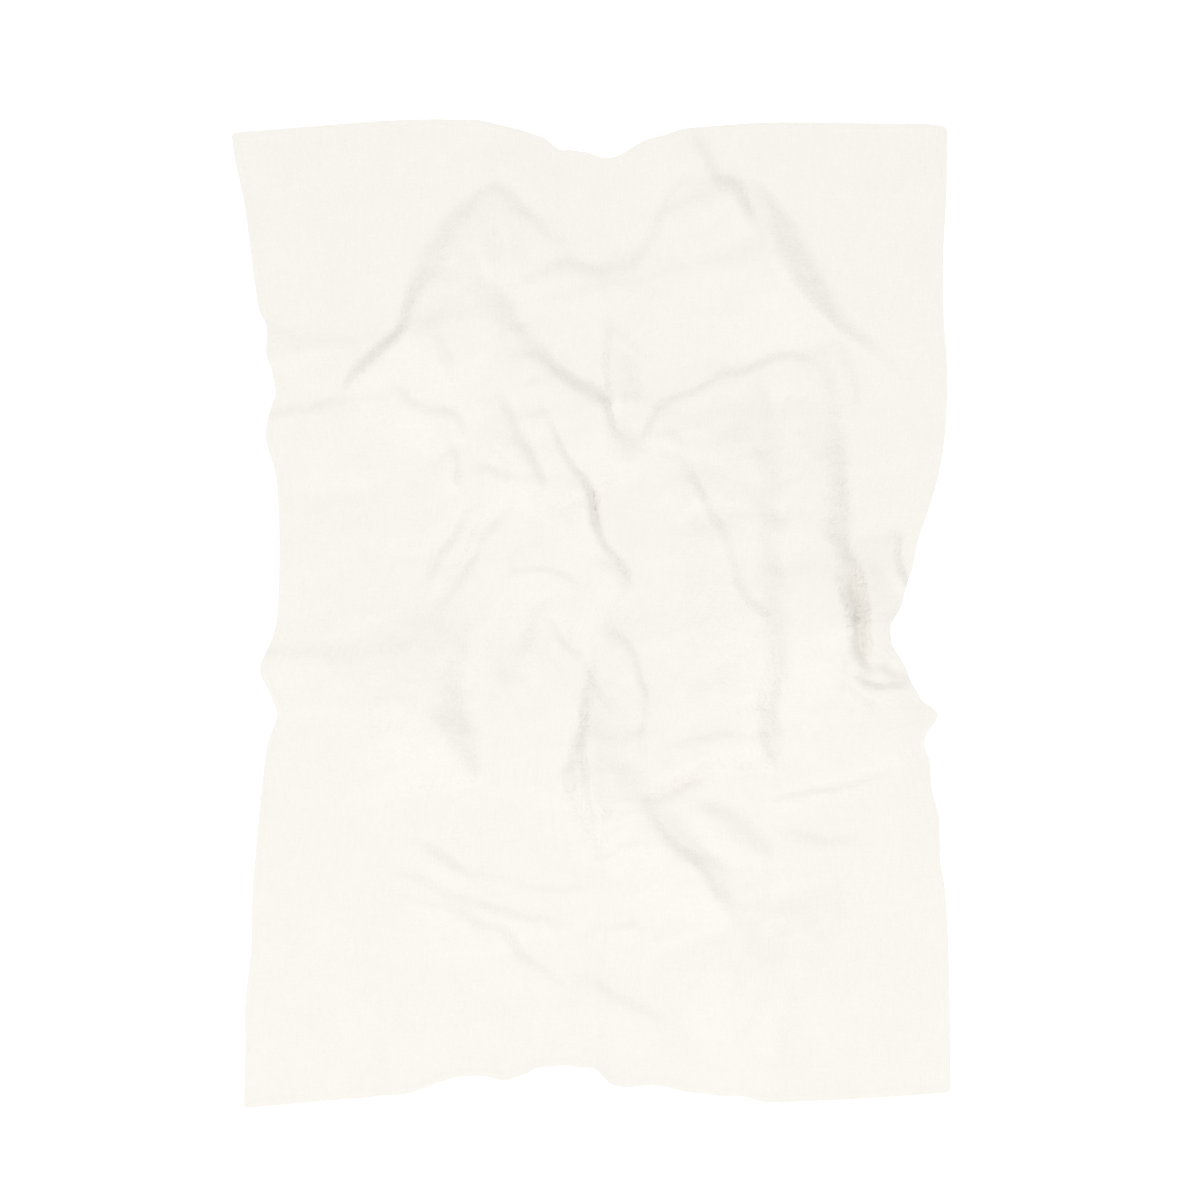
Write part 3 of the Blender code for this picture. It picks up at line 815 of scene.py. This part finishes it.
def make_stitches(material):
    """The hem's stitches: six-sided rods with drawn-in ends, one behind the other round all four sides.

    The rings of a rod are circles of cos and sin round its middle line, at shares of its length.
    """
    rows_of_stitches = (
        (FLAT_WIDTH, STITCH_INSET, False),
        (FLAT_WIDTH, FLAT_LENGTH - STITCH_INSET, False),
        (FLAT_LENGTH, STITCH_INSET, True),
        (FLAT_LENGTH, FLAT_WIDTH - STITCH_INSET, True),
    )
    starts = []
    ends = []
    for length, other, turned in rows_of_stitches:
        run = length - 2 * STITCH_INSET
        count = int(run / STITCH_PITCH)
        first = STITCH_INSET + np.arange(count) * run / count
        beside = np.full(count, other)
        pair = [(first, beside), (first + STITCH_LENGTH, beside)]
        if turned:
            pair = [(b, a) for a, b in pair]
        starts.append(surface_point(*pair[0]))
        ends.append(surface_point(*pair[1]))
    start = np.vstack(starts)
    end = np.vstack(ends)
    way = end - start
    side = np.cross(way, (0.0, 0.0, 1.0))
    side /= np.linalg.norm(side, axis=1)[:, None]
    up = np.cross(side, way)
    up /= np.linalg.norm(up, axis=1)[:, None]
    places = np.array(STITCH_PLACES)[:, None]
    rounds = 2 * np.pi * np.arange(STITCH_SIDES)[None, :] / STITCH_SIDES
    radius = THREAD_RADIUS * np.array(STITCH_RINGS)[:, None]
    out = (radius * np.cos(rounds))[None, :, :, None] * side[:, None, None, :]
    out = out + (radius * np.sin(rounds))[None, :, :, None] * up[:, None, None, :]
    points = start[:, None, None, :] + places[None, :, :, None] * way[:, None, None, :] + out
    rings = len(STITCH_RINGS)
    ring = np.arange(rings - 1)[:, None] * STITCH_SIDES
    here = np.arange(STITCH_SIDES)[None, :]
    after = (here + 1) % STITCH_SIDES
    tube = np.stack([ring + here, ring + STITCH_SIDES + here, ring + STITCH_SIDES + after, ring + after], -1)
    # Each end of a rod is closed by two four-sided faces over its six corners
    near_end = np.array([(0, 1, 2, 3), (0, 3, 4, 5)])
    far_end = np.array([(0, 3, 2, 1), (0, 5, 4, 3)]) + (rings - 1) * STITCH_SIDES
    one = np.vstack([tube.reshape(-1, 4), near_end, far_end])
    shift = np.arange(len(start))[:, None, None] * (rings * STITCH_SIDES)
    faces = (one[None] + shift).reshape(-1, 4)
    return piece_from("hem_stitches", points.reshape(-1, 3), faces, material)


def make_floor():
    """A plain pale floor just below the cloth."""
    mesh = bpy.data.meshes.new("floor")
    half = FLOOR_HALF
    corners = [(-half, -half), (half, -half), (half, half), (-half, half)]
    mesh.from_pydata([(x, y, -FLOOR_DROP) for x, y in corners], [], [(0, 1, 2, 3)])
    floor = bpy.data.objects.new("floor", mesh)
    material = bpy.data.materials.new("pale_floor")
    material.use_nodes = True
    shader = material.node_tree.nodes["Principled BSDF"]
    shader.inputs["Base Color"].default_value = FLOOR_COLOUR
    shader.inputs["Roughness"].default_value = FLOOR_ROUGHNESS
    shader.inputs["Specular IOR Level"].default_value = FLOOR_GLOSS
    shader.inputs["Emission Color"].default_value = WHITE
    shader.inputs["Emission Strength"].default_value = FLOOR_GLOW
    mesh.materials.append(material)
    bpy.context.scene.collection.objects.link(floor)


class Maker:
    """Short ways to add and join the nodes of one material."""

    def __init__(self, name):
        self.material = bpy.data.materials.new(name)
        self.material.use_nodes = True
        self.nodes = self.material.node_tree.nodes
        self.links = self.material.node_tree.links
        self.shader = self.nodes["Principled BSDF"]

    def add(self, kind, inputs=(), **settings):
        """A new node: inputs are joined to another node's output or given a value."""
        node = self.nodes.new(kind)
        for key, value in settings.items():
            setattr(node, key, value)
        for key, value in dict(inputs).items():
            if isinstance(value, bpy.types.NodeSocket):
                self.links.new(value, node.inputs[key])
            else:
                node.inputs[key].default_value = value
        return node

    def maths(self, operation, first, second=0.5):
        """What a maths node makes of two values."""
        return self.add("ShaderNodeMath", {0: first, 1: second}, operation=operation).outputs[0]


def thread():
    """The sewing thread: the linen's colour, a little lighter and twisted round."""
    make = Maker("sewing_thread")
    place = make.add("ShaderNodeTexCoord").outputs["Object"]
    twist = make.add("ShaderNodeTexNoise", {
        "Vector": place, "Scale": THREAD_TWIST, "Detail": 1.0}).outputs["Fac"]
    colour = make.add("ShaderNodeValToRGB", {"Fac": twist})
    colour.color_ramp.elements[0].color = THREAD_DARK
    colour.color_ramp.elements[1].color = THREAD_LIGHT
    make.links.new(colour.outputs[0], make.shader.inputs["Base Color"])
    make.shader.inputs["Roughness"].default_value = THREAD_ROUGHNESS
    return make.material


def linen():
    """Washed linen: threads both ways with slubs, fine creases, and a little unevenness of colour."""
    make = Maker("washed_linen")
    cloth = make.add("ShaderNodeUVMap", uv_map="flat_cloth").outputs["UV"]
    steep = make.add("ShaderNodeAttribute", attribute_name="steep").outputs["Fac"]

    def stretched(scale_x, scale_y, detail=2.0):
        mapped = make.add("ShaderNodeMapping", {"Vector": cloth, "Scale": (scale_x, scale_y, 1)}).outputs[0]
        return make.add("ShaderNodeTexNoise", {
            "Vector": mapped, "Scale": 1.0, "Detail": detail, "Roughness": 0.5}).outputs["Fac"]

    def threads(scale, direction):
        return make.add("ShaderNodeTexWave", {
            "Vector": cloth, "Scale": scale, "Distortion": THREAD_WOBBLE, "Detail": 1.0},
            wave_type="BANDS", bands_direction=direction).outputs["Fac"]

    slub_long = stretched(SLUB_FINE, SLUB_LONG)
    slub_across = stretched(SLUB_LONG, SLUB_FINE)
    slubs = make.maths("ADD", slub_long, make.maths("MULTIPLY", slub_across, SLUB_CROSSING))
    mottle = stretched(MOTTLE, MOTTLE, 3.0)
    weave = make.maths("MULTIPLY", threads(WARP_THREADS, "X"), threads(WEFT_THREADS, "Y"))

    grain = make.add("ShaderNodeTexNoise", {
        "Vector": cloth, "Scale": CREASE_GRAIN, "Detail": 4.0, "Roughness": CREASE_ROUGHNESS,
        "Distortion": CREASE_WOBBLE}).outputs["Fac"]
    creases = make.maths("ABSOLUTE", make.maths("SUBTRACT", grain, 0.5))
    crease_share = make.maths("ADD", make.maths("MULTIPLY", steep, CREASE_STEEP), CREASE_LEAST)
    creases = make.maths("MULTIPLY", creases, crease_share)

    slub_shade = make.maths("MULTIPLY", slubs, SLUB_SHADE)
    mottle_shade = make.maths("MULTIPLY", mottle, MOTTLE_SHADE)
    shade = make.maths("ADD", slub_shade, mottle_shade)
    colour = make.add("ShaderNodeValToRGB", {"Fac": shade})
    dark, light = colour.color_ramp.elements
    dark.position = LINEN_DARK_AT
    dark.color = LINEN_DARK
    light.position = LINEN_LIGHT_AT
    light.color = LINEN_LIGHT
    make.links.new(colour.outputs[0], make.shader.inputs["Base Color"])

    bump = make.add("ShaderNodeBump", {"Height": creases, "Strength": 1.0, "Distance": CREASE_RELIEF})
    bump = make.add("ShaderNodeBump", {
        "Height": slubs, "Strength": 1.0, "Distance": SLUB_RELIEF, "Normal": bump.outputs[0]})
    bump = make.add("ShaderNodeBump", {
        "Height": weave, "Strength": WEAVE_STRENGTH, "Distance": WEAVE_RELIEF, "Normal": bump.outputs[0]})
    make.links.new(bump.outputs[0], make.shader.inputs["Normal"])
    make.shader.inputs["Roughness"].default_value = LINEN_ROUGHNESS
    make.shader.inputs["Specular IOR Level"].default_value = LINEN_GLOSS
    make.shader.inputs["Sheen Weight"].default_value = LINEN_FUZZ
    make.shader.inputs["Sheen Roughness"].default_value = LINEN_FUZZ_ROUGHNESS
    return make.material


def make_lights():
    """The white room, and the broad lamp, which faces the middle of the cover."""
    world = bpy.data.worlds.new("studio")
    world.use_nodes = True
    background = world.node_tree.nodes["Background"]
    background.inputs["Color"].default_value = WHITE
    background.inputs["Strength"].default_value = ROOM_LIGHT
    bpy.context.scene.world = world
    lamp = bpy.data.lights.new("soft_lamp", "AREA")
    lamp.energy = LAMP_LIGHT
    lamp.shape = "DISK"
    lamp.size = LAMP_SIZE
    light = bpy.data.objects.new("soft_lamp", lamp)
    light.location = LAMP_FROM
    light.rotation_mode = "QUATERNION"
    light.rotation_quaternion = (-light.location).to_track_quat("-Z", "Y")
    bpy.context.scene.collection.objects.link(light)
    bpy.context.scene.view_settings.view_transform = "Standard"


def make_camera():
    """The camera, which looks straight down on a square of the floor that is one frame wide."""
    data = bpy.data.cameras.new("camera")
    data.sensor_width = SENSOR
    data.lens = SENSOR * CAMERA_HEIGHT / FRAME_WIDTH
    data.clip_end = CAMERA_REACH
    camera = bpy.data.objects.new("camera", data)
    camera.location = (*FRAME_CENTRE, CAMERA_HEIGHT)
    bpy.context.scene.collection.objects.link(camera)
    bpy.context.scene.camera = camera


make_camera()
make_lights()
make_floor()
cloth = make_cloth(linen())
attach(cloth, "root")
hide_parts("duvet_cover")
stitches = make_stitches(thread())
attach(stitches, "root")
